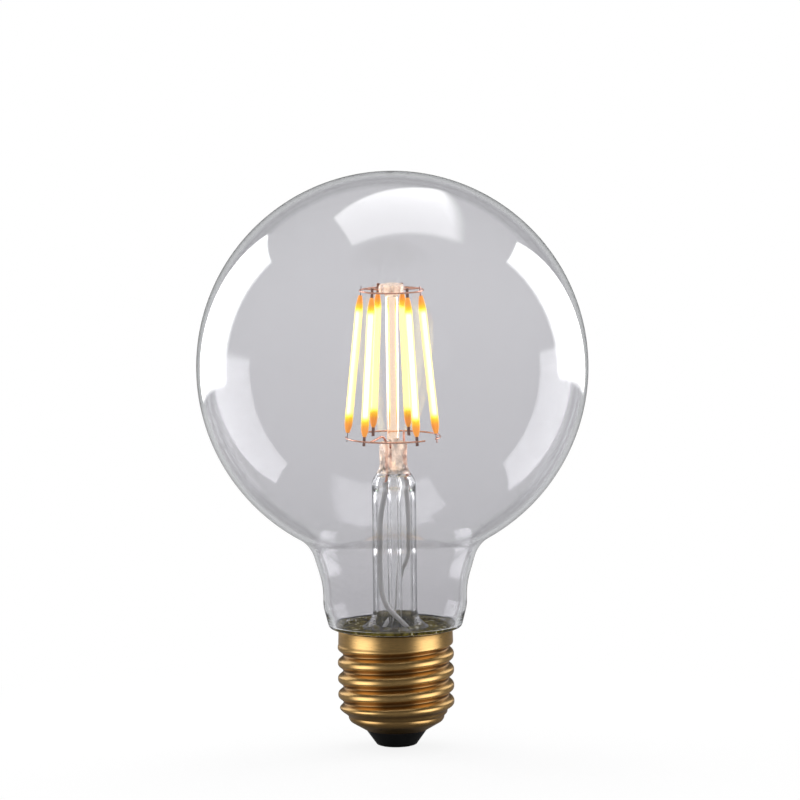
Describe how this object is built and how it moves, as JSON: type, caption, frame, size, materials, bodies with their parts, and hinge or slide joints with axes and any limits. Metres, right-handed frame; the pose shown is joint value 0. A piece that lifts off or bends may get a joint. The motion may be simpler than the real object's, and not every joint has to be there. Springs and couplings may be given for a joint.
{
  "type": "led filament bulb",
  "caption": "Clear globe light bulb with leaning LED filaments round a glass stem, a driver in its screw cap and a gold-coloured brass thread.",
  "frame": {"origin": "centre of the flat underside of the centre contact", "axes": "+Z along the bulb's axis, from the contact up to the top of the globe; the picture's camera looks along +Y"},
  "size_m": [0.0886, 0.0886, 0.1309],
  "materials": {
    "globe_glass": "clear blown glass, smooth",
    "stem_glass": "clear drawn glass",
    "ring_wire": "bright copper-coloured wire",
    "lead_wire": "copper-clad wire",
    "lead_sleeve": "pale translucent sleeve",
    "phosphor": "yellow silicone coat, lit",
    "tab_metal": "stamped metal tab",
    "cap_brass": "satin gold-coloured rolled brass",
    "black_glass": "black glass",
    "contact_metal": "tinned metal",
    "cement": "dull cement",
    "board": "green board",
    "package": "black moulding",
    "capacitor": "dark sleeve",
    "resistor": "grey-green coat",
    "solder": "solder"
  },
  "bodies": {
    "root": {"anchor_wire": "lead_wire", "bridge_rectifier": "package", "cap_cement": "cement", "cap_shell": "cap_brass", "centre_contact": "contact_metal", "driver_board": "board", "driver_chip": "package", "exhaust_tube": "stem_glass", "filament_1": "phosphor", "filament_2": "phosphor", "filament_3": "phosphor", "filament_4": "phosphor", "filament_5": "phosphor", "filament_6": "phosphor", "filament_tabs_1": "tab_metal", "filament_tabs_2": "tab_metal", "filament_tabs_3": "tab_metal", "filament_tabs_4": "tab_metal", "filament_tabs_5": "tab_metal", "filament_tabs_6": "tab_metal", "fusible_resistor": "resistor", "glass_globe": "globe_glass", "insulator": "black_glass", "lead_sleeve_left": "lead_sleeve", "lead_sleeve_right": "lead_sleeve", "lead_wire_left": "lead_wire", "lead_wire_right": "lead_wire", "lower_ring_back": "ring_wire", "lower_ring_front": "ring_wire", "shell_lead": "lead_wire", "smoothing_capacitor": "capacitor", "solder_joints": "solder", "stem_flare_tube": "stem_glass", "support_rod": "stem_glass", "top_ring_wire": "ring_wire"}
  },
  "joints": []
}
